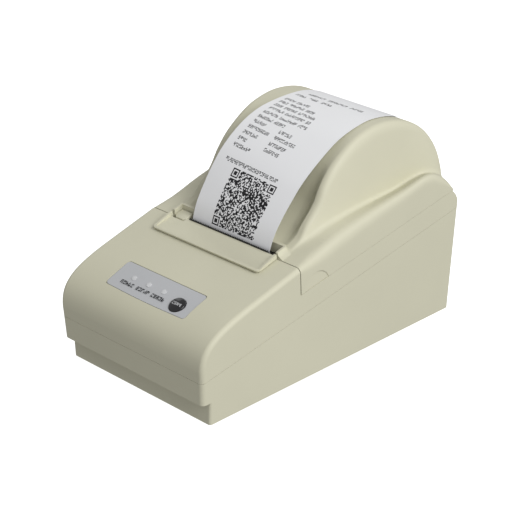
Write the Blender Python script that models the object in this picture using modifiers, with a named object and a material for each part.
"""Desktop thermal receipt printer for 58 mm paper, clamshell type.

Lengths below are in millimetres and are scaled to metres as each mesh is made.
Design frame: x to the right, y from the front face to the rear, z up from the
bottom of the base. One empty carries the whole printer, so that the world
origin is at the middle of its footprint, on the surface that the feet touch.
"""
import math

import bmesh
import bpy
from mathutils import Matrix, Vector

MM = 0.001

# ---------------------------------------------------------------- driving sizes
HALF_WIDTH = 52.6         # half the width of the base at its bottom
DRAFT = 0.047             # how far the sides lean out for each mm of height
FRONT_Y = -0.8            # foremost point of the nose
FOOT_DROP = 1.0           # how far the feet stand below the base
WALL = 2.3                # thickness of the moulded walls
GAP = 0.3                 # clearance kept between neighbouring pieces

PLINTH_TOP = 12.9         # the front of the base steps back below this height
PLINTH_STEP = 5.2
CORNER_ROUND = 2.6        # radius of the base's corners and of the cover's long edges
CORNER_STEPS = 3
PART_Z = 25.4             # parting line of base and top case, at the front
PART_SLOPE = 0.1905       # rise of the parting line towards the rear
RAIL_Z = 12.0             # height of the top case's side rails over that line
DECK_Z = 48.3             # the sloping deck, extended to y = 0
DECK_SLOPE = 0.268
DECK_TILT = math.atan(DECK_SLOPE)
SEAM_Y = 65.9             # seam of front cover and lid, at deck level
LIP_HEIGHT = 3.2          # how far the rims round the paper slot stand above the deck
SEAM_FOOT_Y = 67.0        # the same seam where it meets the side rail

CREST = (142.0, 117.3)    # top of the lid's dome, y and z
DOME_FRONT = (53.5, 57.3)  # half axes of the ellipse in front of the crest
DOME_REAR = (48.41, 41.5)  # half axes of the ellipse behind it
DOME_END = -3.0           # degrees on the rear ellipse where the lid ends
DOME_HALF = 40.4          # half width of the dome
LID_WALL = 2.2
REAR_Y = CREST[0] + DOME_REAR[0] * math.cos(math.radians(DOME_END))

HINGE = (186.5, 75.0)     # lid hinge axis, y and z
HINGE_R = 3.5
HINGE_PIN_R = 1.5

PAPER_X = 3.7             # the paper runs this far right of the middle
PAPER_WIDTH = 57.5
PAPER_SKIN = 0.3

PLATEN = (75.0, 57.0)     # platen roller axis, y and z
PLATEN_R = 5.5
SHAFT_R = 2.0
MOTOR = (88.0, 42.0)      # stepper motor axis, y and z
MODULE = 0.6
PINION_TEETH = 12
WHEEL_TEETH = 32
STEP_TEETH = 14
PLATEN_TEETH = 22

ROLL = (146.0, 61.0)      # paper roll axis, y and z
ROLL_R = 30.0
BUCKET = (146.0, 70.0)    # centre of the trough that holds the roll
BUCKET_R = 37.0

BUTTON_X = 19.4
BUTTON_Y = 15.4
BUTTON_R = 4.6
LED_X = (-17.1, -5.8, 5.6)
LED_Y = 18.9
LABEL_X = (-29.7, 29.5)
LABEL_Y = (10.4, 26.8)
PANEL_TILT = math.radians(27.0)

BOARD = (-45.0, 45.0, 103.0, 183.0)   # main board, x then y limits
BOARD_Z = 6.4
BOARD_T = 1.6
SWITCH = (33.0, 187.0, 30.0)          # power switch, on the rear wall
ROCKER_TILT = math.radians(9.0)
HEAD_PIVOT = (67.6, 42.0)             # print head's rocking axis, y and z

MECH_FLOOR = 30.0         # underside of the print mechanism's frame
PILLARS = ((-22.0, 61.6), (30.0, 61.6), (-22.0, 95.0), (30.0, 95.0))
BOARD_SCREWS = ((-40.0, 108.0), (40.0, 168.0))
FEET = ((-40.0, 20.0), (40.0, 20.0), (-40.0, 172.0), (40.0, 172.0))
CASE_SCREWS = ((-28.0, 14.0), (28.0, 14.0), (-24.0, 176.0), (24.0, 176.0))
PORTS = {                 # x, lowest z, width, height
    "dc_inlet": (-37.0, 8.3, 9.4, 11.0),
    "usb_socket": (-16.0, 8.3, 12.0, 10.8),
    "drawer_socket": (6.0, 8.3, 13.0, 13.0),
}

# ---------------------------------------------------------------- scene set-up
for old in list(bpy.data.objects):
    bpy.data.objects.remove(old, do_unlink=True)

parts = bpy.data.collections.new("receipt_printer")
cutters = bpy.data.collections.new("cutters")
bpy.context.scene.collection.children.link(parts)
bpy.context.scene.collection.children.link(cutters)


def material(name, colour, roughness, metallic=0.0):
    made = bpy.data.materials.new(name)
    made.use_nodes = True
    shader = made.node_tree.nodes["Principled BSDF"]
    shader.inputs["Base Color"].default_value = (*colour, 1.0)
    shader.inputs["Roughness"].default_value = roughness
    shader.inputs["Metallic"].default_value = metallic
    return made


SHELL = material("shell_plastic", (0.60, 0.58, 0.44), 0.45)
LABEL = material("label_film", (0.48, 0.50, 0.52), 0.40)
BLACK = material("black_plastic", (0.02, 0.02, 0.02), 0.35)
CLEAR = material("lens_plastic", (0.75, 0.77, 0.80), 0.20)
RUBBER = material("black_rubber", (0.03, 0.03, 0.03), 0.75)
STEEL = material("plated_steel", (0.62, 0.63, 0.64), 0.30, 1.0)
ALLOY = material("heatsink_aluminium", (0.70, 0.71, 0.72), 0.38, 1.0)
CERAMIC = material("head_ceramic", (0.66, 0.60, 0.52), 0.25)
NYLON = material("white_nylon", (0.80, 0.79, 0.75), 0.42)
TRAY = material("tray_plastic", (0.10, 0.10, 0.11), 0.50)
GREEN = material("circuit_board", (0.02, 0.16, 0.07), 0.42)
PAPER = material("thermal_paper", (0.86, 0.87, 0.88), 0.60)
CORE = material("core_board", (0.45, 0.33, 0.20), 0.80)
FLEX = material("flex_film", (0.42, 0.20, 0.05), 0.38)


def empty(name, location, parent=None):
    made = bpy.data.objects.new(name, None)
    made.location = Vector(location) * MM
    made.parent = parent
    parts.objects.link(made)
    return made


root = empty("printer", (0.0, -(FRONT_Y + REAR_Y) / 2.0, FOOT_DROP))


def joint(name, location, parent_at=(0.0, 0.0, 0.0), parent=root):
    """An empty on a joint's axis; location is in the design frame."""
    return empty(name, Vector(location) - Vector(parent_at), parent)


LID_AT = (0.0, *HINGE)
PLATEN_AT = (PAPER_X, *PLATEN)
lid_axis = joint("lid_axis", LID_AT)
platen_axis = joint("platen_axis", PLATEN_AT, LID_AT, lid_axis)


def place(obj, at, parent=root, parent_at=(0.0, 0.0, 0.0)):
    """Hang obj on parent, with its origin at a point of the design frame."""
    obj.parent = parent
    obj.location = (Vector(at) - Vector(parent_at)) * MM
    return obj


# ---------------------------------------------------------------- mesh helpers
def keep(name, mesh, skin, smooth_angle=32.0):
    obj = bpy.data.objects.new(name, mesh)
    parts.objects.link(obj)
    mesh.materials.clear()
    mesh.materials.append(skin)
    mesh.shade_smooth()
    mesh.set_sharp_from_angle(angle=math.radians(smooth_angle))
    return obj


def mesh_from(bm, name):
    bmesh.ops.recalc_face_normals(bm, faces=bm.faces)
    mesh = bpy.data.meshes.new(name)
    bm.to_mesh(mesh)
    bm.free()
    return mesh


def box_mesh(name, low, high):
    """A box between two corners, in mm."""
    low = Vector(low)
    high = Vector(high)
    size = high - low
    shift = Matrix.Translation((low + high) / 2.0 * MM)
    bm = bmesh.new()
    bmesh.ops.create_cube(bm, size=1.0, matrix=shift @ Matrix.Diagonal((*(size * MM), 1.0)))
    return mesh_from(bm, name)


def box(name, low, high, skin, round_edges=0.0, segments=2):
    obj = keep(name, box_mesh(name, low, high), skin)
    if round_edges:
        bevel(obj, round_edges, segments)
    return obj


def bevel(obj, width, segments=2, angle=40.0):
    made = obj.modifiers.new("round_edges", "BEVEL")
    made.width = width * MM
    made.segments = segments
    made.limit_method = "ANGLE"
    made.angle_limit = math.radians(angle)


def plate_mesh(name, outline, thickness):
    """A flat outline in local x and y, extruded half its thickness each way."""
    curve = bpy.data.curves.new(name, "CURVE")
    curve.dimensions = "2D"
    curve.fill_mode = "BOTH"
    curve.extrude = thickness * MM / 2.0
    spline = curve.splines.new("POLY")
    spline.points.add(len(outline) - 1)
    for point, (x, y) in zip(spline.points, outline):
        point.co = (x * MM, y * MM, 0.0, 1.0)
    spline.use_cyclic_u = True
    holder = bpy.data.objects.new(name + "_outline", curve)
    cutters.objects.link(holder)
    depsgraph = bpy.context.evaluated_depsgraph_get()
    mesh = bpy.data.meshes.new_from_object(holder.evaluated_get(depsgraph))
    bpy.data.objects.remove(holder, do_unlink=True)
    bm = bmesh.new()
    bm.from_mesh(mesh)
    bmesh.ops.remove_doubles(bm, verts=bm.verts, dist=0.00001)
    bpy.data.meshes.remove(mesh)
    return mesh_from(bm, name)


SIDE_VIEW = Matrix(((0, 0, 1, 0), (1, 0, 0, 0), (0, 1, 0, 0), (0, 0, 0, 1)))


def side_mesh(name, outline, low_x, high_x, origin=(0.0, 0.0, 0.0)):
    """An outline of (y, z) points, extruded along x between two limits."""
    mesh = plate_mesh(name, outline, high_x - low_x)
    mesh.transform(Matrix.Translation(Vector(((low_x + high_x) / 2.0, 0.0, 0.0)) * MM) @ SIDE_VIEW)
    mesh.transform(Matrix.Translation(-Vector(origin) * MM))
    return mesh


def turned(name, profile, skin, axis="Z", segments=24):
    """A closed (radius, height) profile turned about the local axis.

    The profile starts at the top, runs down its outer side and comes back.
    """
    bm = bmesh.new()
    points = [bm.verts.new((radius * MM, 0.0, height * MM)) for radius, height in profile]
    for first, second in zip(points, points[1:]):
        bm.edges.new((first, second))
    if profile[0][0] > 0.0:
        bm.edges.new((points[-1], points[0]))
    mesh = bpy.data.meshes.new(name)
    bm.to_mesh(mesh)
    bm.free()
    obj = bpy.data.objects.new(name, mesh)
    parts.objects.link(obj)
    mesh.materials.append(skin)
    screw = obj.modifiers.new("turn", "SCREW")
    screw.steps = segments
    screw.render_steps = segments
    screw.use_merge_vertices = True
    screw.merge_threshold = 0.000005
    screw.use_smooth_shade = False
    if axis == "X":
        obj.rotation_euler = (0.0, math.radians(90.0), 0.0)
    if axis == "Y":
        obj.rotation_euler = (math.radians(-90.0), 0.0, 0.0)
    return obj


def disc(radius, low, high, chamfer=0.0):
    """Profile of a plain round bar, with an optional chamfer at both ends."""
    if not chamfer:
        return [(0.0, high), (radius, high), (radius, low), (0.0, low)]
    inner = radius - chamfer
    return [(0.0, high), (inner, high), (radius, high - chamfer),
            (radius, low + chamfer), (inner, low), (0.0, low)]


def ring(outer, inner, low, high):
    return [(outer, high), (outer, low), (inner, low), (inner, high)]


def bool_op(obj, mesh, operation):
    """Cut or join a mesh, given in the same local space as obj."""
    tool = bpy.data.objects.new(obj.name + "_tool", mesh)
    cutters.objects.link(tool)
    tool.hide_render = True
    tool.display_type = "WIRE"
    tool.parent = obj
    change = obj.modifiers.new(operation.lower(), "BOOLEAN")
    change.operation = operation
    change.solver = "EXACT"
    change.object = tool


def cut(obj, mesh):
    bool_op(obj, mesh, "DIFFERENCE")


def join(obj, mesh):
    bool_op(obj, mesh, "UNION")


def rod_mesh(name, radius, low, high, centre, axis="Z", segments=20):
    """A plain round bar between two heights on one axis, for cutting and joining."""
    turn = Matrix.Identity(4)
    if axis == "X":
        turn = Matrix.Rotation(math.radians(90.0), 4, "Y")
    if axis == "Y":
        turn = Matrix.Rotation(math.radians(-90.0), 4, "X")
    bm = bmesh.new()
    shift = Matrix.Translation((0.0, 0.0, (low + high) / 2.0 * MM))
    bmesh.ops.create_cone(bm, cap_ends=True, segments=segments, radius1=radius * MM,
                          radius2=radius * MM, depth=(high - low) * MM, matrix=turn @ shift)
    mesh = mesh_from(bm, name)
    mesh.transform(Matrix.Translation(Vector(centre) * MM))
    return mesh


def lean_out(mesh):
    """Apply the moulding draft: the sides lean out as they rise."""
    for vertex in mesh.vertices:
        vertex.co.x *= 1.0 + DRAFT * vertex.co.z / (HALF_WIDTH * MM)


def half_width(z):
    return HALF_WIDTH + DRAFT * z


# ---------------------------------------------------------------- side profiles
def bezier(p0, p1, p2, p3, steps):
    points = []
    for step in range(steps + 1):
        t = step / steps
        s = 1.0 - t
        weights = (s ** 3, 3 * s * s * t, 3 * s * t * t, t ** 3)
        points.append(tuple(sum(w * p[axis] for w, p in zip(weights, (p0, p1, p2, p3)))
                            for axis in range(2)))
    return points


def deck(y):
    return DECK_Z + DECK_SLOPE * y


def parting(y):
    return PART_Z + PART_SLOPE * y


def nose(steps=9):
    """Front of the cover, from the bulge over the parting line to the flat deck."""
    return bezier((FRONT_Y, 31.0), (FRONT_Y, 45.5), (10.0, deck(34.0) - 6.4),
                  (34.0, deck(34.0)), steps)


def offset_line(points, distance):
    """Move an open line to its right-hand side by a distance."""
    moved = []
    for index, (y, z) in enumerate(points):
        before = points[max(index - 1, 0)]
        after = points[min(index + 1, len(points) - 1)]
        along_y = after[0] - before[0]
        along_z = after[1] - before[1]
        length = math.hypot(along_y, along_z)
        moved.append((y + along_z / length * distance, z - along_y / length * distance))
    return moved


def on_nose(y):
    """Height of the cover's surface at a distance from the front."""
    line = nose(40)
    for (y0, z0), (y1, z1) in zip(line, line[1:]):
        if y0 <= y <= y1:
            return z0 + (z1 - z0) * (y - y0) / (y1 - y0)
    return deck(y)


# ---------------------------------------------------------------- base shell
def bevelled_slab(name, outline, half, keep_edge, radius, segments=3):
    """A side outline made into a slab whose long edges are rounded.

    keep_edge(y, z) says which stretches of the outline stay sharp.
    """
    mesh = side_mesh(name, outline, -half, half)
    bm = bmesh.new()
    bm.from_mesh(mesh)
    chosen = []
    for edge in bm.edges:
        first, second = (vertex.co / MM for vertex in edge.verts)
        on_side = abs(abs(first.x) - half) < 0.01 and abs(first.x - second.x) < 0.01
        middle = (first + second) / 2.0
        on_outline = any(face.normal.x ** 2 < 0.5 for face in edge.link_faces)
        if on_side and on_outline and not keep_edge(middle.y, middle.z):
            chosen.append(edge)
    bmesh.ops.bevel(bm, geom=chosen, offset=radius * MM, segments=segments, profile=0.5,
                    affect="EDGES", clamp_overlap=False)
    bmesh.ops.remove_doubles(bm, verts=bm.verts, dist=0.00001)
    bpy.data.meshes.remove(mesh)
    return mesh_from(bm, name)


def rounded_loop(low_y, high_y, height):
    """An outline seen from above, with round corners; height(y) lifts each point."""
    loop = []
    side = HALF_WIDTH - CORNER_ROUND
    corners = (
        (side, high_y - CORNER_ROUND, 0.0), (-side, high_y - CORNER_ROUND, 90.0),
        (-side, low_y + CORNER_ROUND, 180.0), (side, low_y + CORNER_ROUND, 270.0),
    )
    for x, y, start in corners:
        for step in range(CORNER_STEPS + 1):
            angle = math.radians(start + 90.0 * step / CORNER_STEPS)
            at_y = y + CORNER_ROUND * math.sin(angle)
            loop.append(Vector((x + CORNER_ROUND * math.cos(angle), at_y, height(at_y))))
    return loop


def base_loops():
    """Outlines of the base at its bottom and at the parting line."""
    return [
        rounded_loop(0.5, 186.5, lambda y: 0.0),
        rounded_loop(-0.5, 188.7, lambda y: parting(y) - GAP / 2),
    ]


def make_base():
    mesh = loft_mesh("base_shell", base_loops())
    lean_out(mesh)
    base = place(keep("base_shell", mesh, SHELL), (0.0, 0.0, 0.0))
    inside = [
        (PLINTH_STEP + WALL, WALL), (184.2, WALL), (186.4, parting(186.4) + 9.0),
        (2.0, parting(2.0) + 9.0), (2.0, PLINTH_TOP + WALL),
        (PLINTH_STEP + WALL, PLINTH_TOP + WALL),
    ]
    cut(base, box_mesh("plinth_step", (-60.0, -10.0, -1.0), (60.0, PLINTH_STEP, PLINTH_TOP)))
    hollow = side_mesh("base_inside", inside, WALL - HALF_WIDTH, HALF_WIDTH - WALL)
    lean_out(hollow)
    cut(base, hollow)
    for x, y in PILLARS:
        join(base, rod_mesh("pillar", 3.4, WALL - 1.0, MECH_FLOOR - GAP, (x, y, 0.0), segments=12))
    for x, y in BOARD_SCREWS:
        join(base, rod_mesh("boss", 3.2, WALL - 1.0, BOARD_Z - GAP, (x, y, 0.0), segments=12))
    for x, y in FEET:
        cut(base, rod_mesh("foot_pocket", 6.3, -1.0, 1.0, (x, y, 0.0), segments=24))
    for x, y in CASE_SCREWS:
        cut(base, rod_mesh("screw_hole", 1.9, -1.0, WALL + 1.0, (x, y, 0.0), segments=12))
        cut(base, rod_mesh("screw_seat", 3.3, -1.0, 1.2, (x, y, 0.0), segments=16))
    for x, low_z, width, height in PORTS.values():
        opening = box_mesh("port_opening", (x - width / 2 - GAP, 180.0, low_z - GAP),
                           (x + width / 2 + GAP, 195.0, low_z + height + GAP))
        cut(base, opening)
    x, _, z = SWITCH
    cut(base, box_mesh("switch_opening", (x - 9.6, 180.0, z - 6.6), (x + 9.6, 195.0, z + 6.6)))


# ---------------------------------------------------------------- top case
REAR_ROLL = ((182.6, 72.1), (184.8, 69.7), (187.2, 65.3), (188.8, parting(188.8) + GAP / 2))


def case_outline():
    line = [(-0.5, parting(-0.5) + GAP / 2)]
    line += nose()
    line += [(SEAM_Y - GAP, deck(SEAM_Y)), (SEAM_FOOT_Y - GAP, parting(SEAM_FOOT_Y) + RAIL_Z)]
    line += list(REAR_ROLL)
    return line


def case_edge_stays(y, z):
    on_parting = abs(z - parting(y) - GAP / 2) < 0.4
    on_rail = y > SEAM_Y - 0.8 and abs(z - parting(y) - RAIL_Z) < 0.9
    on_seam = SEAM_Y - 0.8 < y < SEAM_FOOT_Y + 0.2 and z < deck(y) - 0.5
    return on_parting or on_rail or on_seam


def make_top_case():
    mesh = bevelled_slab("top_case", case_outline(), HALF_WIDTH, case_edge_stays, CORNER_ROUND)
    lean_out(mesh)
    case = place(keep("top_case", mesh, SHELL), (0.0, 0.0, 0.0))
    under_cover = [(1.9, 10.0)]
    under_cover += offset_line(nose(), WALL + 0.3)
    under_cover += [(SEAM_Y - GAP - WALL, deck(SEAM_Y) - WALL - 0.9), (SEAM_Y - GAP - WALL, 10.0)]
    hollow = side_mesh("cover_inside", under_cover, WALL - HALF_WIDTH, HALF_WIDTH - WALL)
    lean_out(hollow)
    cut(case, box_mesh("hinge_space", (-42.5, 182.0, 69.4), (42.5, 195.0, 80.0)))
    join(case, box_mesh("rear_wall_block", (-42.0, 183.6, 61.5), (42.0, 188.9, 70.4)))
    cut(case, hollow)
    bay = box_mesh("lid_bay", (WALL - HALF_WIDTH, 71.3, 10.0), (HALF_WIDTH - WALL, 183.4, 110.0))
    lean_out(bay)
    cut(case, bay)
    cut(case, box_mesh("mechanism_window", (-38.8, 53.2, 10.0), (38.8, 74.0, 110.0)))
    cut(case, label_recess())
    for x in LED_X:
        cut(case, panel_rod(x, LED_Y, 1.9, -9.0, 4.0, 12))
    cut(case, panel_rod(BUTTON_X, BUTTON_Y, BUTTON_R + 0.35, -9.0, 4.0, 28))
    y, z = HINGE
    join(case, box_mesh("knuckle_web", (-21.4, y - 2.2, z - 9.0), (21.4, y + 2.2, z)))
    join(case, rod_mesh("knuckle", HINGE_R - 0.2, -22.0, 22.0, (0.0, y, z), "X", 20))
    cut(case, rod_mesh("pin_bore", HINGE_PIN_R + GAP, -24.0, 24.0, (0.0, y, z), "X", 16))


def panel_matrix(x, y):
    """Frame on the cover's surface: local z points out of the control panel."""
    return Matrix.Translation(Vector((x, y, on_nose(y))) * MM) @ Matrix.Rotation(PANEL_TILT, 4, "X")


def panel_rod(x, y, radius, low, high, segments):
    mesh = rod_mesh("panel_rod", radius, low, high, (0.0, 0.0, 0.0), segments=segments)
    mesh.transform(panel_matrix(x, y))
    return mesh


def panel_line(low_y, high_y):
    count = 8
    steps = [low_y + (high_y - low_y) * index / count for index in range(count + 1)]
    return [(y, on_nose(y)) for y in steps]


def label_recess():
    line = panel_line(LABEL_Y[0] - GAP, LABEL_Y[1] + GAP)
    outline = offset_line(line, 0.9) + offset_line(line, -3.0)[::-1]
    return side_mesh("label_recess", outline, LABEL_X[0] - GAP, LABEL_X[1] + GAP)


def make_label():
    line = panel_line(*LABEL_Y)
    outline = offset_line(line, 0.6) + offset_line(line, 0.1)[::-1]
    label = place(keep("control_label", side_mesh("control_label", outline, *LABEL_X), LABEL), (0, 0, 0))
    for x in LED_X:
        cut(label, panel_rod(x, LED_Y, 1.9, -4.0, 4.0, 12))
    cut(label, panel_rod(BUTTON_X, BUTTON_Y, BUTTON_R + 0.35, -4.0, 4.0, 28))


def on_panel(obj, x, y, depth=0.0, parent=root):
    """Stand obj on the control panel, its local z out of the panel."""
    obj.parent = parent
    normal = Vector((0.0, -math.sin(PANEL_TILT), math.cos(PANEL_TILT)))
    obj.location = (Vector((x, y, on_nose(y))) + normal * depth) * MM
    obj.rotation_euler = (PANEL_TILT, 0.0, 0.0)
    return obj


def make_panel():
    make_label()
    for name, x in zip(("led_lens_left", "led_lens_middle", "led_lens_right"), LED_X):
        on_panel(turned(name, disc(1.5, -8.4, -0.1, 0.3), CLEAR, segments=14), x, LED_Y)
    flange = BUTTON_R + 1.3
    cap = [(0.0, 0.9), (BUTTON_R - 1.2, 0.8), (BUTTON_R - 0.3, 0.45), (BUTTON_R, 0.0),
           (BUTTON_R, -3.6), (flange, -3.6), (flange, -4.6), (0.0, -4.6)]
    on_panel(turned("feed_button", cap, BLACK, segments=28), BUTTON_X, BUTTON_Y)
    plunger = box("feed_switch", (-3.0, -3.0, -8.5), (3.0, 3.0, -5.9), BLACK)
    on_panel(plunger, BUTTON_X, BUTTON_Y)
    board = box("panel_board", (-24.0, -6.0, -10.0), (28.0, 4.4, -8.8), GREEN)
    on_panel(board, 0.0, BUTTON_Y)


# ---------------------------------------------------------------- tear plate
def make_tear_plate():
    """Snap-on plate in front of the paper slot, with a raised lip on three sides."""
    depth = (66.3 - 52.0) / math.cos(DECK_TILT)
    body = box_mesh("tear_plate", (-39.7, 0.0, 0.3), (39.7, depth, 1.7))
    plate = keep("tear_plate", body, SHELL)
    join(plate, box_mesh("tenon", (-38.3, 1.8, -1.9), (38.3, depth - 1.0, 0.8)))
    for low_x, high_x in ((-39.6, -37.0), (37.0, 39.6)):
        rising_lip = [(0.7, 1.0), (depth - 0.2, 1.0), (depth - 0.2, LIP_HEIGHT), (0.7, 1.6)]
        join(plate, side_mesh("rising_lip", rising_lip, low_x, high_x))
    cut(plate, box_mesh("dish", (-38.1, 1.7, 1.1), (38.1, depth + 2.0, 6.0)))
    cut(plate, box_mesh("blade_seat", (-27.0, depth - 5.3, -3.0), (35.0, depth + 2.0, -0.5)))
    cut(plate, box_mesh("hood_notch", (-38.8, depth - 2.5, -4.0), (-28.2, depth + 2.0, 6.0)))
    for low_x, high_x in ((-50.0, -38.4), (38.4, 50.0)):
        cut(plate, box_mesh("lid_notch", (low_x, depth - 0.9, -5.0), (high_x, depth + 3.0, 7.0)))
    place(plate, (0.0, 52.0, deck(52.0)))
    plate.rotation_euler = (DECK_TILT, 0.0, 0.0)


def make_tear_blade():
    """Thin steel strip under the plate's rear edge, with a row of fine teeth."""
    teeth = 28
    width = PAPER_WIDTH + 1.5
    pitch = width / teeth
    outline = [(-width / 2, -4.6)]
    outline.append((width / 2, -4.6))
    for index in range(teeth):
        x = width / 2 - pitch * index
        outline.append((x, -0.55))
        outline.append((x - pitch / 2, 0.25))
    outline.append((-width / 2, -0.55))
    blade = keep("tear_blade", plate_mesh("tear_blade", outline, 0.5), STEEL, 20.0)
    slope = Vector((0.0, math.cos(DECK_TILT), math.sin(DECK_TILT)))
    normal = Vector((0.0, -math.sin(DECK_TILT), math.cos(DECK_TILT)))
    at = Vector((PAPER_X, 52.0, deck(52.0))) + slope * 14.8 - normal * 1.1
    place(blade, at)
    blade.rotation_euler = (DECK_TILT, 0.0, 0.0)


# ---------------------------------------------------------------- paper lid
def front_arc(degrees):
    angle = math.radians(degrees)
    return (CREST[0] - DOME_FRONT[0] * math.cos(angle),
            CREST[1] - DOME_FRONT[1] + DOME_FRONT[1] * math.sin(angle))


def rear_arc(degrees):
    angle = math.radians(degrees)
    return (CREST[0] + DOME_REAR[0] * math.cos(angle),
            CREST[1] - DOME_REAR[1] + DOME_REAR[1] * math.sin(angle))


# One row a station, front to rear, each with (y, z) of the shoulder's edge, of the
# crease between shoulder and dome, of the dome's edge and of the scoop's floor,
# then the crease's x and the rounding of the shoulder and of the dome's edge.
LID_ROWS = [
    ((66.1, 66.0), (66.1, 66.0), (66.1, 66.0), (66.1, 66.0), 42.0, 3.5, 0.8),
    ((75.0, 68.4), (74.5, 68.2), (73.6, 68.4), (72.8, 67.5), 42.2, 5.5, 0.8),
    ((84.0, 70.9), (83.5, 70.7), (81.3, 71.9), (80.6, 69.1), 42.6, 7.0, 1.0),
    ((91.0, 72.9), (89.6, 73.0), (86.4, 77.7), (88.3, 73.7), 43.0, 7.0, 2.0),
    ((98.0, 74.8), (96.8, 75.2), front_arc(27), (98.0, 83.0), 43.4, 7.0, 3.0),
    ((107.0, 77.1), (107.6, 77.0), front_arc(38), (102.8, 93.0), 43.8, 7.0, 4.0),
    ((117.0, 79.5), (117.6, 78.0), front_arc(51), (109.3, 103.6), 44.0, 7.0, 5.0),
    ((130.0, 82.4), (130.6, 78.7), front_arc(68), (122.2, 112.8), 44.0, 7.0, 5.5),
    ((145.0, 85.5), (145.8, 79.3), front_arc(83), front_arc(83), 44.0, 7.0, 6.0),
    ((154.0, 87.8), (156.0, 80.5), rear_arc(83), rear_arc(83), 44.0, 7.0, 6.0),
    ((160.0, 88.9), (165.0, 81.6), rear_arc(68), rear_arc(68), 44.0, 7.0, 6.0),
    ((166.0, 88.1), (172.0, 81.6), rear_arc(53), rear_arc(53), 44.0, 7.0, 5.0),
    ((171.6, 85.0), (178.0, 80.3), rear_arc(39), rear_arc(39), 44.0, 7.0, 5.0),
    ((176.3, 80.8), (183.5, 78.0), rear_arc(24), rear_arc(24), 44.0, 7.0, 4.5),
    ((179.8, 77.2), (186.8, 75.6), rear_arc(9), rear_arc(9), 44.0, 7.0, 3.5),
    ((182.0, 74.4), (188.4, 73.8), rear_arc(DOME_END), rear_arc(DOME_END), 43.0, 7.0, 2.0),
]
LID_FRONT = (67.35, 50.75)       # lower front corner of the lid's side, y and z
LID_BACK = (182.8, 72.65)       # lower rear corner
SCOOP_HALF = 31.0              # half width of the scoop's flat floor
RIDGE_HALF = 36.4              # half width between the ridges beside the scoop


def soften(points, radii, steps):
    """Round the inner corners of a line of 3-D points with parabolic arcs.

    Each corner has a radius and the largest shares that it takes of the edges beside it.
    """
    line = [points[0]]
    for before, corner, after, limits in zip(points, points[1:], points[2:], radii):
        radius, share_before, share_after = limits
        to_before = before - corner
        to_after = after - corner
        start = corner + to_before * min(radius / to_before.length, share_before)
        end = corner + to_after * min(radius / to_after.length, share_after)
        for step in range(steps + 1):
            t = step / steps
            line.append(start * (1 - t) ** 2 + corner * 2 * t * (1 - t) + end * t * t)
    line.append(points[-1])
    return line


def lid_sections(inset):
    """Closed loops across the lid, front to rear; inset shrinks them inwards."""
    rails = [[row[column] for row in LID_ROWS] for column in range(4)]
    if inset:
        rails = [offset_line(rail, inset) for rail in rails]
    loops = []
    for index, row in enumerate(LID_ROWS):
        shoulder, crease, dome, floor = (rail[index] for rail in rails)
        share = (row[0][0] - LID_ROWS[0][0][0]) / (LID_ROWS[-1][0][0] - LID_ROWS[0][0][0])
        side = tuple(a + (b - a) * share for a, b in zip(LID_FRONT, LID_BACK))
        depth_shift = 0.0
        if inset:
            side = (side[0], side[1] - 6.0)
            if index == 0:
                depth_shift = inset
        cheek = DOME_HALF - inset
        half = [
            Vector((half_width(side[1]) - inset, side[0] + depth_shift, side[1])),
            Vector((half_width(shoulder[1]) - inset, shoulder[0] + depth_shift, shoulder[1])),
            Vector((row[4] - inset * 0.6, crease[0] + depth_shift, crease[1])),
            Vector((cheek, dome[0] + depth_shift, dome[1])),
            Vector((RIDGE_HALF - inset * 0.4, dome[0] + depth_shift, dome[1])),
            Vector((SCOOP_HALF - inset * 0.7, floor[0] + depth_shift, floor[1])),
            Vector((0.0, floor[0] + depth_shift, floor[1])),
        ]
        radii = ((row[5], 0.45, 0.45), (3.0, 0.45, 0.45), (row[6], 0.5, 0.85), (0.4, 0.1, 0.1),
                 (5.0, 0.45, 0.45))
        right = soften(half, radii, 2)
        left = [Vector((-point.x, point.y, point.z)) for point in right[-2::-1]]
        loops.append(right + left)
    return loops


def loft_mesh(name, loops, origin=(0.0, 0.0, 0.0)):
    """Skin closed loops that have the same number of points, and cap both ends."""
    bm = bmesh.new()
    shift = Vector(origin)
    rows = [[bm.verts.new((point - shift) * MM) for point in loop] for loop in loops]
    for first, second in zip(rows, rows[1:]):
        for index in range(len(first)):
            after = (index + 1) % len(first)
            bm.faces.new((first[index], first[after], second[after], second[index]))
    bm.faces.new(rows[0][::-1])
    bm.faces.new(rows[-1])
    bmesh.ops.triangulate(bm, faces=bm.faces)
    return mesh_from(bm, name)


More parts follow.
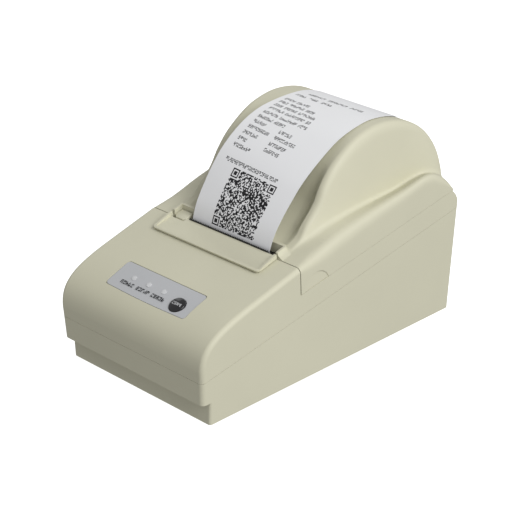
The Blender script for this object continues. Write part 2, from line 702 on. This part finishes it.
def make_lid():
    lid = place(keep("paper_lid", loft_mesh("paper_lid", lid_sections(0.0), LID_AT), SHELL), LID_AT,
                lid_axis, LID_AT)
    moved = Matrix.Translation(-Vector(LID_AT) * MM)

    def local(mesh):
        mesh.transform(moved)
        return mesh

    cut(lid, loft_mesh("lid_inside", lid_sections(LID_WALL), LID_AT))
    front, rear = SEAM_Y + 0.6, 73.4
    rim = [(front, deck(front) - 1.0), (rear, deck(rear) - 1.0),
           (rear, deck(rear) + LIP_HEIGHT), (front, deck(front) + LIP_HEIGHT)]
    join(lid, local(side_mesh("slot_rim", rim, -40.9, 40.9)))
    join(lid, local(box_mesh("front_web", (-40.6, 72.0, 65.2), (40.6, 73.6, 66.5))))
    cut(lid, local(box_mesh("slot_notch", (-39.2, 60.0, 40.0), (39.2, 71.6, 90.0))))
    y, z = HINGE
    cut(lid, local(box_mesh("knuckle_space", (-22.5, y - 5.0, z - 12.0), (22.5, y + 12.0, z + 5.0))))
    for side in (-1.0, 1.0):
        low, high = sorted((side * 23.0, side * 37.5))
        join(lid, local(rod_mesh("lid_knuckle", HINGE_R, low, high, (0.0, y, z), "X", 20)))
        join(lid, local(box_mesh("knuckle_root", (low + 0.6, y - 1.7, z), (high - 0.6, y + 2.4, z + 7.0))))
    cut(lid, local(rod_mesh("lid_pin_bore", HINGE_PIN_R + GAP, -37.9, 37.9, (0.0, y, z), "X", 16)))
    for side in (-1.0, 1.0):
        scallop = rod_mesh("finger_scallop", 9.0, -3.0, 3.0, (side * 57.0, 78.5, 51.2), "X", 20)
        cut(lid, local(scallop))


def make_lid_fittings():
    pin = turned("hinge_pin", disc(HINGE_PIN_R, -37.0, 37.0, 0.3), STEEL, "X", 14)
    place(pin, LID_AT)
    hood = box("gear_hood", (-38.4, 64.6, 62.9), (-28.6, 71.2, 67.6), SHELL, 0.5)
    place(hood, (0.0, 0.0, 0.0), lid_axis, LID_AT)


def make_platen():
    y, z = PLATEN
    outer = box_mesh("platen_bracket", (-26.7, 71.0, 52.6), (34.1, 80.0, 64.3))
    bracket = place(keep("platen_bracket", outer, STEEL), (0.0, 0.0, 0.0), lid_axis, LID_AT)
    cut(bracket, box_mesh("bracket_inside", (-25.7, 60.0, 50.0), (33.1, 90.0, 63.3)))
    cut(bracket, rod_mesh("bracket_bore", SHAFT_R + GAP, -60.0, 60.0, (0.0, y, z), "X", 20))
    roller = ring(PLATEN_R, SHAFT_R + 0.02, -29.0, 29.0)
    place(turned("platen_roller", roller, RUBBER, "X", 28), PLATEN_AT, platen_axis, PLATEN_AT)
    shaft = disc(SHAFT_R - 0.05, -37.6, 34.0, 0.3)
    place(turned("platen_shaft", shaft, STEEL, "X", 20), PLATEN_AT, platen_axis, PLATEN_AT)
    for name, low in (("platen_bush_left", -29.6), ("platen_bush_right", 34.5)):
        bush = turned(name, ring(3.5, SHAFT_R + 0.25, 0.0, 2.5), NYLON, "X", 16)
        place(bush, (low, y, z), lid_axis, LID_AT)


# ---------------------------------------------------------------- gears
def gear_outline(teeth, phase, module=MODULE):
    """Straight-flanked teeth; one tooth points along the phase angle."""
    pitch = module * teeth / 2.0
    root_r = pitch - 1.15 * module
    tip_r = pitch + 0.85 * module
    step = math.tau / teeth
    outline = []
    for index in range(teeth):
        middle = phase + index * step
        for radius, share in ((root_r, -0.27), (tip_r, -0.11), (tip_r, 0.11), (root_r, 0.27)):
            angle = middle + share * step
            outline.append((radius * math.cos(angle), radius * math.sin(angle)))
    return outline


def gear_mesh(name, teeth, phase, low_x, high_x):
    return side_mesh(name, gear_outline(teeth, phase), low_x, high_x)


def centre_distance(first, second):
    return MODULE * (first + second) / 2.0 + 0.05


def third_corner(first, second, to_first, to_second):
    """The point at two given distances from two others, on their lower side."""
    a = Vector(first)
    b = Vector(second)
    span = (b - a).length
    along = (to_first ** 2 - to_second ** 2 + span ** 2) / (2.0 * span)
    across = math.sqrt(to_first ** 2 - along ** 2)
    unit = (b - a) / span
    options = [a + unit * along + Vector((unit.y, -unit.x)) * across * side for side in (-1, 1)]
    return min(options, key=lambda point: point.y)


WHEEL = third_corner(MOTOR, PLATEN, centre_distance(PINION_TEETH, WHEEL_TEETH),
                     centre_distance(STEP_TEETH, PLATEN_TEETH))


def direction(start, end):
    return math.atan2(end[1] - start[1], end[0] - start[0])


def make_gears():
    """Motor pinion, two-step reduction gear and platen gear, in mesh at rest."""
    to_wheel = direction(MOTOR, WHEEL)
    pinion = keep("motor_pinion", gear_mesh("motor_pinion", PINION_TEETH, to_wheel, -37.9, -34.9),
                  STEEL, 20.0)
    place(pinion, (0.0, *MOTOR))
    cut(pinion, rod_mesh("pinion_bore", 1.25, -60.0, 60.0, (0.0, 0.0, 0.0), "X", 12))
    wheel_phase = to_wheel + math.pi + math.pi / WHEEL_TEETH
    wheel = keep("reduction_gear",
                 gear_mesh("reduction_gear", WHEEL_TEETH, wheel_phase, -37.9, -34.9), NYLON, 20.0)
    place(wheel, (0.0, *WHEEL))
    to_platen = direction(WHEEL, PLATEN)
    join(wheel, gear_mesh("small_step", STEP_TEETH, to_platen, -35.2, -30.9))
    cut(wheel, rod_mesh("wheel_bore", 1.5 + GAP, -60.0, 60.0, (0.0, 0.0, 0.0), "X", 14))
    platen_phase = to_platen + math.pi + math.pi / PLATEN_TEETH
    shift = -PAPER_X
    gear = keep("platen_gear", gear_mesh("platen_gear", PLATEN_TEETH, platen_phase,
                                         -33.6 + shift, -31.0 + shift), NYLON, 20.0)
    place(gear, PLATEN_AT, platen_axis, PLATEN_AT)
    cut(gear, rod_mesh("gear_bore", SHAFT_R + 0.05, -60.0, 60.0, (0.0, 0.0, 0.0), "X", 20))
    axle = turned("gear_axle", disc(1.5, -38.6, -29.2, 0.25), STEEL, "X", 14)
    place(axle, (0.0, *WHEEL))
    place(turned("motor_shaft", disc(1.15, -38.4, -26.2, 0.2), STEEL, "X", 12), (0.0, *MOTOR))


# ---------------------------------------------------------------- print mechanism
def make_mechanism():
    frame = keep("mechanism_frame",
                 box_mesh("mechanism_frame", (-28.9, 57.0, MECH_FLOOR), (36.3, 99.0, 60.4)), STEEL)
    place(frame, (0.0, 0.0, 0.0))
    cut(frame, box_mesh("frame_inside", (-27.7, 58.2, MECH_FLOOR + 1.2), (35.1, 120.0, 80.0)))
    y, z = PLATEN
    notch = [(y - 4.1, z - 0.5), (y - 4.1 - 1.4, z + 9.0), (y + 4.1, z + 9.0), (y + 4.1, z - 0.5)]
    for step in range(1, 8):
        angle = math.pi * step / 8
        notch.append((y + 4.1 * math.cos(angle), z - 0.5 - 4.1 * math.sin(angle)))
    cut(frame, side_mesh("platen_notch", notch, -60.0, 60.0))
    cut(frame, box_mesh("flex_slot", (-13.0, 63.2, 20.0), (21.0, 68.2, 40.0)))
    cut(frame, rod_mesh("motor_hole", 3.0, -40.0, -20.0, (0.0, *MOTOR), "X", 16))
    for x, y in (PILLARS[0], PILLARS[3]):
        cut(frame, rod_mesh("frame_hole", 1.8, 20.0, 40.0, (x, y, 0.0), segments=12))
        cut(bpy.data.objects["base_shell"],
            rod_mesh("pillar_bore", 1.8, 20.0, 40.0, (x, y, 0.0), segments=12))
    motor = turned("stepper_motor", disc(8.6, -27.4, -9.5, 0.6), STEEL, "X", 28)
    place(motor, (0.0, *MOTOR))
    cut(motor, rod_mesh("motor_bore", 1.45, -30.0, -25.8, (0.0, 0.0, 0.0), "Z", 12))
    guide = [(78.0, 49.4), (90.0, 53.7), (98.6, 57.2), (98.6, 55.8), (90.0, 52.3), (78.0, 48.0)]
    place(keep("paper_guide", side_mesh("paper_guide", guide, -27.3, 34.7), TRAY), (0.0, 0.0, 0.0))
    cut(bpy.data.objects["paper_guide"],
        box_mesh("sensor_window", (0.6, 90.0, 40.0), (8.0, 95.4, 60.0)))
    sensor = box("paper_sensor", (1.2, 90.6, 49.6), (7.4, 94.8, 53.8), BLACK)
    place(sensor, (0.0, 0.0, 0.0))


def make_print_head():
    """Heat sink plate that rocks about its lower edge, with the ceramic on its rear face."""
    y, z = HEAD_PIVOT
    at = (0.0, y, z)
    sink = keep("head_plate", box_mesh("head_plate", (-23.5, -1.5, 0.9), (30.9, 1.0, 16.8)), ALLOY)
    place(sink, at)
    join(sink, rod_mesh("head_knuckle", 1.9, -23.5, 30.9, (0.0, 0.0, 0.0), "X", 14))
    cut(sink, rod_mesh("head_bore", 1.0 + GAP, -60.0, 60.0, (0.0, 0.0, 0.0), "X", 12))
    ceramic = box("thermal_head", (-23.0, 1.02, 8.4), (30.4, 1.5, 16.6), CERAMIC)
    place(ceramic, at)
    place(turned("head_pivot_pin", disc(1.0, -26.6, 34.0, 0.2), STEEL, "X", 12), at)


def helix_points(radius, length, turns, per_turn):
    count = int(turns * per_turn)
    points = []
    for index in range(count + 1):
        angle = math.tau * index / per_turn
        points.append((radius * math.cos(angle), radius * math.sin(angle), length * index / count))
    return points


def make_head_spring(name, x):
    """Compression spring between the frame's front wall and the head plate."""
    curve = bpy.data.curves.new(name, "CURVE")
    curve.dimensions = "3D"
    curve.bevel_depth = 0.3 * MM
    curve.bevel_resolution = 0
    curve.use_fill_caps = True
    spline = curve.splines.new("POLY")
    points = helix_points(2.4, 5.0, 3.0, 10)
    spline.points.add(len(points) - 1)
    for point, (px, py, pz) in zip(spline.points, points):
        point.co = (px * MM, py * MM, pz * MM, 1.0)
    holder = bpy.data.objects.new(name + "_path", curve)
    cutters.objects.link(holder)
    depsgraph = bpy.context.evaluated_depsgraph_get()
    mesh = bpy.data.meshes.new_from_object(holder.evaluated_get(depsgraph))
    bpy.data.objects.remove(holder, do_unlink=True)
    bm = bmesh.new()
    bm.from_mesh(mesh)
    bmesh.ops.remove_doubles(bm, verts=bm.verts, dist=0.000005)
    spring = keep(name, mesh_from(bm, name), STEEL, 60.0)
    place(spring, (x, 58.9, 56.0))
    spring.rotation_euler = (math.radians(-90.0), 0.0, 0.0)


# ---------------------------------------------------------------- paper
def make_bucket():
    """Trough that the roll lies in, open at the top."""
    y, z = BUCKET
    low_x = PAPER_X - PAPER_WIDTH / 2 - 2.8
    high_x = PAPER_X + PAPER_WIDTH / 2 + 2.8

    def trough(radius, top):
        line = [(y + radius, top), (y - radius, top)]
        for step in range(13):
            angle = math.pi * step / 12
            line.append((y - radius * math.cos(angle), z - 4.0 - radius * math.sin(angle)))
        return line

    outer = side_mesh("paper_bucket", trough(BUCKET_R, z - 2.0), low_x, high_x)
    bucket = place(keep("paper_bucket", outer, TRAY), (0.0, 0.0, 0.0))
    inner = side_mesh("bucket_inside", trough(BUCKET_R - 1.6, z + 10.0), low_x + 1.5, high_x - 1.5)
    cut(bucket, inner)


def make_roll():
    y, z = ROLL
    at = (PAPER_X, y, z)
    half = PAPER_WIDTH / 2
    place(turned("paper_roll", ring(ROLL_R, 8.8, -half, half), PAPER, "X", 40), at)
    place(turned("roll_core", ring(8.5, 6.3, -half, half), CORE, "X", 24), at)


# Edges of the printed strip, slot to free end: (y, z) of the left and right edge.
STRIP_ROWS = [
    ((67.9, 65.6), (67.9, 65.6)),
    ((68.2, 68.4), (68.2, 68.4)),
    ((71.2, 76.4), (72.0, 76.0)),
    ((76.7, 85.2), (77.6, 83.2)),
    ((82.6, 93.2), (83.6, 89.6)),
    ((89.6, 101.0), (90.4, 96.2)),
    ((98.4, 107.8), (98.6, 102.3)),
    ((108.4, 113.2), (108.4, 108.4)),
    ((118.4, 116.3), (118.4, 113.4)),
    ((129.0, 117.5), (129.0, 116.3)),
    ((140.0, 117.8), (140.0, 117.8)),
    ((150.0, 117.1), (150.0, 117.1)),
    ((158.6, 115.2), (158.6, 115.2)),
    ((166.5, 112.1), (166.5, 112.1)),
]


def make_strip():
    """Printed receipt that stands out of the slot and lies over the dome."""
    left_x = PAPER_X - PAPER_WIDTH / 2
    right_x = PAPER_X + PAPER_WIDTH / 2
    left = [row[0] for row in STRIP_ROWS]
    right = [row[1] for row in STRIP_ROWS]
    left_top = offset_line(left, -PAPER_SKIN)
    right_top = offset_line(right, -PAPER_SKIN)
    loops = []
    for index in range(len(STRIP_ROWS)):
        loops.append([
            Vector((right_x, *right[index])), Vector((right_x, *right_top[index])),
            Vector((left_x, *left_top[index])), Vector((left_x, *left[index])),
        ])
    strip = keep("receipt_strip", loft_mesh("receipt_strip", loops), PAPER, 60.0)
    place(strip, (0.0, 0.0, 0.0), lid_axis, LID_AT)


# ---------------------------------------------------------------- electronics
def make_electronics():
    low_x, high_x, low_y, high_y = BOARD
    board = keep("main_board", box_mesh("main_board", (low_x, low_y, BOARD_Z),
                                        (high_x, high_y, BOARD_Z + BOARD_T)), GREEN)
    place(board, (0.0, 0.0, 0.0))
    for x, y in BOARD_SCREWS:
        cut(board, rod_mesh("board_hole", 1.8, 0.0, 12.0, (x, y, 0.0), segments=12))
        cut(bpy.data.objects["base_shell"],
            rod_mesh("boss_bore", 1.6, WALL + 0.6, 12.0, (x, y, 0.0), segments=12))
    top = BOARD_Z + BOARD_T + GAP
    place(box("main_chip", (-6.0, 126.0, top), (8.0, 140.0, top + 1.6), BLACK), (0.0, 0.0, 0.0))
    place(turned("capacitor", disc(4.0, 0.0, 11.0, 0.4), BLACK, "Z", 20), (-28.0, 152.0, top))
    place(box("head_connector", (-9.0, 104.5, top), (17.0, 109.5, top + 3.4), NYLON), (0, 0, 0))
    for name, (x, low_z, width, height) in PORTS.items():
        low = (x - width / 2, 172.0, low_z)
        high = (x + width / 2, 187.0, low_z + height)
        port = keep(name, box_mesh(name, low, high), BLACK if name == "dc_inlet" else STEEL)
        place(port, (0.0, 0.0, 0.0))
        middle_z = low_z + height / 2
        if name == "dc_inlet":
            cut(port, rod_mesh("jack_bore", 3.2, 176.0, 195.0, (x, 0.0, middle_z), "Y", 16))
        else:
            cut(port, box_mesh("socket_inside", (x - width / 2 + 1.2, 175.0, low_z + 1.2),
                               (x + width / 2 - 1.2, 195.0, low_z + height - 1.2)))
    ribbon = [(66.4, 40.0), (66.4, 20.0)]
    ribbon += bezier((66.4, 20.0), (66.4, 11.5), (80.0, 10.2), (104.0, 10.2), 6)[1:]
    outline = offset_line(ribbon, 0.2) + offset_line(ribbon, -0.2)[::-1]
    place(keep("head_flex_cable", side_mesh("head_flex_cable", outline, -8.0, 16.0), FLEX), (0, 0, 0))


def make_switch():
    """Rocker switch on the rear wall: body with a flange, and the rocker in it."""
    x, y, z = SWITCH
    body = keep("switch_body", box_mesh("switch_body", (x - 9.3, y - 14.0, z - 6.3),
                                        (x + 9.3, y + 1.6, z + 6.3)), BLACK)
    place(body, (0.0, 0.0, 0.0))
    flange = box_mesh("switch_flange", (x - 10.8, y + 0.9, z - 7.8), (x + 10.8, y + 2.4, z + 7.8))
    join(body, flange)
    cut(body, box_mesh("switch_inside", (x - 8.4, y - 6.0, z - 5.4), (x + 8.4, y + 9.0, z + 5.4)))
    outline = [(-7.4, -2.2), (7.4, -2.2), (7.4, 3.6), (0.0, 2.6), (-7.4, 3.6)]
    rocker = keep("power_rocker", plate_mesh("power_rocker", outline, 10.0), BLACK)
    place(rocker, (x, y - 1.6, z))
    rocker.rotation_euler = (0.0, 0.0, -ROCKER_TILT)


# ---------------------------------------------------------------- fasteners and feet
def screw_profile(head_r, head_h, shank_r, length):
    return [(0.0, head_h), (head_r, head_h * 0.6), (head_r, 0.0),
            (shank_r, 0.0), (shank_r, -length), (0.0, -length)]


def make_fasteners():
    sides = ("front_left", "front_right", "rear_left", "rear_right")
    for side, (x, y) in zip(sides, FEET):
        foot = turned("foot_" + side, disc(6.0, -FOOT_DROP, 1.0 - GAP), RUBBER, "Z", 24)
        place(foot, (x, y, 0.0))
    for side, (x, y) in zip(sides, CASE_SCREWS):
        screw = turned("case_screw_" + side, screw_profile(3.0, 0.9, 1.5, 4.4), STEEL, "Z", 12)
        place(screw, (x, y, 1.2 - GAP))
        screw.rotation_euler = (math.pi, 0.0, 0.0)
    for side, (x, y) in zip(("left", "right"), BOARD_SCREWS):
        screw = turned("board_screw_" + side, screw_profile(2.8, 1.2, 1.2, 4.6), STEEL, "Z", 12)
        place(screw, (x, y, BOARD_Z + BOARD_T + GAP))
    for side, (x, y) in zip(("left", "right"), (PILLARS[0], PILLARS[3])):
        screw = turned("frame_screw_" + side, screw_profile(2.8, 1.2, 1.4, 6.0), STEEL, "Z", 12)
        place(screw, (x, y, MECH_FLOOR + 1.2 + GAP))


make_base()
make_top_case()
make_panel()
make_tear_plate()
make_tear_blade()
make_lid()
make_lid_fittings()
make_platen()
make_gears()
make_mechanism()
make_print_head()
make_head_spring("head_spring_left", -12.0)
make_head_spring("head_spring_right", 19.0)
make_bucket()
make_roll()
make_strip()
make_electronics()
make_switch()
make_fasteners()
